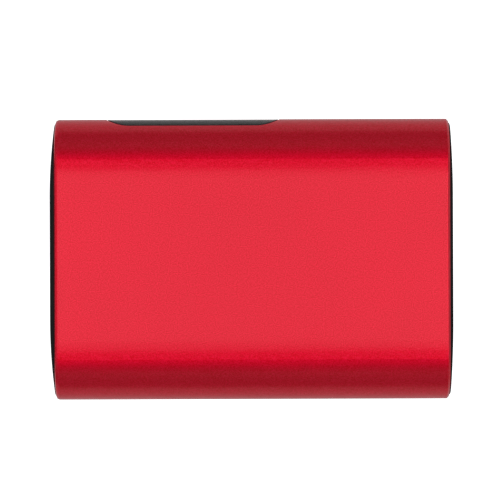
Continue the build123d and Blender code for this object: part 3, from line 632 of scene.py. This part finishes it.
mask_ink = moulded("black_mask_ink", (0.004, 0.004, 0.004), 0.55, 0.1 * MM, 0.1)
display_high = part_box("oled_display")[1]
mask_back = display_high.y + MASK_LIFT
mesh = bmesh.new()
rings = []
for half_size, squareness in ((MASK_OUTER, 5), (MASK_CLEAR, 12)):
    outline = rounded_outline(*half_size, squareness)
    for lift in (0.0, MASK_THICKNESS):
        rings.append([mesh.verts.new(Vector((lens_middle.x + u, mask_back + lift, middle.z + v)))
                      for u, v in outline])
outer_back, outer_front, inner_back, inner_front = rings
for one, other in ((outer_back, outer_front), (outer_front, inner_front),
                   (inner_front, inner_back), (inner_back, outer_back)):
    for index in range(len(one)):
        after = (index + 1) % len(one)
        mesh.faces.new([one[index], one[after], other[after], other[index]])
bmesh.ops.recalc_face_normals(mesh, faces=mesh.faces)
finish_piece("lens_mask", mesh, mask_ink, "housing")

live, tree, shader, place = glossy("display_live_area", (0.012, 0.011, 0.022), 0.08)
rows = add(tree, "ShaderNodeTexChecker", {"Vector": place, "Scale": 5700.0})
cells = add(tree, "ShaderNodeMix", {0: rows.outputs["Fac"], 6: (0.008, 0.007, 0.016, 1),
                                    7: (0.020, 0.018, 0.034, 1)}, data_type="RGBA")
tree.links.new(cells.outputs[2], shader.inputs["Base Color"])
live_seat = Vector((lens_middle.x, display_high.y, middle.z))
plate("display_live_area", rectangle(*LIVE_AREA), live_seat, -X, Z, 0.02 * MM,
      0.005 * MM, live, "housing")
print("mask and live area behind the lens")

# %% [markdown]
# ## Table, light and camera
# The player lies on a plain white table. A dim box hangs over the camera, and the flat top mirrors
# it as an even sheen. Four strong strips stand well to the sides, where the coat doesn't mirror
# them but the rough metal under it still spreads their light. The room round them is dark, which
# draws the deep band along each rounded edge, and the table lights those edges from below. Light
# paths let the camera see the table brighter than the metal does, as a flag would.

# %% Table
TABLE_SIZE = 12.0
TABLE_GLOW = 0.17
mesh = bmesh.new()
bmesh.ops.create_grid(mesh, x_segments=1, y_segments=1, size=TABLE_SIZE / 2)
data = bpy.data.meshes.new("table_top")
mesh.to_mesh(data)
mesh.free()
table = bpy.data.objects.new("table_top", data)
table.location.z = low.z - 0.02 * MM
bpy.context.scene.collection.objects.link(table)

pale, tree, shader, place = new_material("pale_table", (0.44, 0.44, 0.44), Roughness=0.9)
shader.inputs["Specular IOR Level"].default_value = 0.0
shader.inputs["Emission Color"].default_value = (1, 1, 1, 1)
seen = add(tree, "ShaderNodeLightPath").outputs["Is Camera Ray"]
glow = math_node(tree, "ADD", TABLE_GLOW, seen)
tree.links.new(glow, shader.inputs["Emission Strength"])
data.materials.append(pale)

# %% [markdown]
# The boxes are area lights whose faces have a set brightness, so moving or resizing one changes
# how much it covers and not how bright it looks in the metal. The room is a plain gradient by
# height, which is easier to steer than walls and throws no shadows of its own.

# %% Soft boxes and room
def soft_box(name, place, size, radiance):
    """An area light that faces down, lit so that its face has the radiance given."""
    lamp = bpy.data.lights.new(name, "AREA")
    lamp.shape = "RECTANGLE"
    lamp.size, lamp.size_y = size
    lamp.energy = radiance * math.pi * size[0] * size[1]
    box = bpy.data.objects.new(name, lamp)
    box.location = place
    box.visible_camera = False
    bpy.context.scene.collection.objects.link(box)


BOX_HEIGHT = 1.0
CEILING_SIZE = (0.40, 0.18)
CEILING_LEVEL = 1.05
STRIP_SIZE = (0.65, 0.10)
STRIP_X = 0.525
STRIP_Y = 0.10
STRIP_LEVEL = 8.0
soft_box("ceiling_box", (0, 0, BOX_HEIGHT), CEILING_SIZE, CEILING_LEVEL)
for name, x, y in (("strip_box_a", -1, -1), ("strip_box_b", -1, 1),
                   ("strip_box_c", 1, -1), ("strip_box_d", 1, 1)):
    soft_box(name, (x * STRIP_X, y * STRIP_Y, BOX_HEIGHT), STRIP_SIZE, STRIP_LEVEL)

world = bpy.data.worlds.new("studio_room")
bpy.context.scene.world = world
world.use_nodes = True
tree = world.node_tree
background = tree.nodes["Background"]
way = add(tree, "ShaderNodeTexCoord").outputs["Generated"]
rise = add(tree, "ShaderNodeSeparateXYZ", {0: way}).outputs[2]
room = add(tree, "ShaderNodeValToRGB", {0: rise})
levels = ((0.0, 0.26), (0.18, 0.18), (0.45, 0.22), (0.70, 0.28), (0.86, 0.12), (0.97, 0.03))
while len(room.color_ramp.elements) < len(levels):
    room.color_ramp.elements.new(0.5)
for element, (position, level) in zip(room.color_ramp.elements, levels):
    element.position = position
    element.color = (level, level, level, 1)
seen = add(tree, "ShaderNodeLightPath").outputs["Is Camera Ray"]
shown = add(tree, "ShaderNodeMix", {0: seen, 6: room.outputs[0], 7: (0.9, 0.9, 0.9, 1)},
            data_type="RGBA")
tree.links.new(shown.outputs[2], background.inputs["Color"])
print("room levels:", levels)

# %% [markdown]
# The camera looks straight down through a long lens, so both rounded edges and both caps show
# alike. It stands a little off the middle and is turned a fifth of a degree, as a camera set up
# by hand would be. A flat view without perspective would be simpler, but a real lens has some.

# %% Camera
CAMERA_DISTANCE = 0.72
FIELD_WIDTH = 100.05 * MM
SENSOR = 36.0
ASIDE = Vector((-0.27 * MM, 1.84 * MM, 0))
TURN = math.radians(-0.19)

lens = bpy.data.cameras.new("camera")
lens.sensor_width = SENSOR
lens.lens = SENSOR * CAMERA_DISTANCE / FIELD_WIDTH
lens.clip_start = 0.01
camera = bpy.data.objects.new("camera", lens)
camera.location = Vector((middle.x, middle.y, middle.z + CAMERA_DISTANCE)) + ASIDE
camera.rotation_euler = (0, 0, TURN)
bpy.context.scene.collection.objects.link(camera)
bpy.context.scene.camera = camera
bpy.context.scene.view_settings.view_transform = "Standard"
print("lens:", round(lens.lens, 1), "mm")
